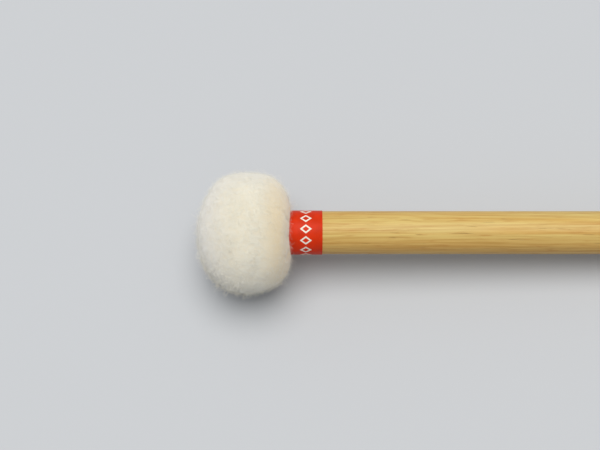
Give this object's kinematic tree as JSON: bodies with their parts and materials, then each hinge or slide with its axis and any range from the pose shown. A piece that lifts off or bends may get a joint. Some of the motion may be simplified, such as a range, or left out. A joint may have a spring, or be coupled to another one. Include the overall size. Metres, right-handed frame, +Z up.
{
  "type": "timpani mallet",
  "caption": "Drumstick with a soft white felt ball head gathered round a straight hickory shaft, and a plain red tape band behind the head.",
  "frame": {"origin": "centre of the mallet's length and width, at the height of the surface it lies on", "axes": "+X along the mallet from the head to the butt, seen from above; +Z up"},
  "size_m": [0.3748, 0.041, 0.0405],
  "materials": {
    "hickory": "satin varnish over straight grain",
    "maple": "turned, unvarnished",
    "steel": "zinc plated",
    "hard_felt": "dense pressed wool felt",
    "soft_felt": "soft brushed white wool felt",
    "thread": "waxed linen thread",
    "red_tape": "smooth satin vinyl"
  },
  "bodies": {
    "root": {"shaft": "hickory", "core": "maple", "core_washer": "steel", "core_screw": "steel", "front_pad": "hard_felt", "rear_pad": "hard_felt", "liner": "hard_felt", "cover": "soft_felt", "drawstring": "thread", "drawstring_knot": "thread", "label": "red_tape"}
  },
  "joints": []
}
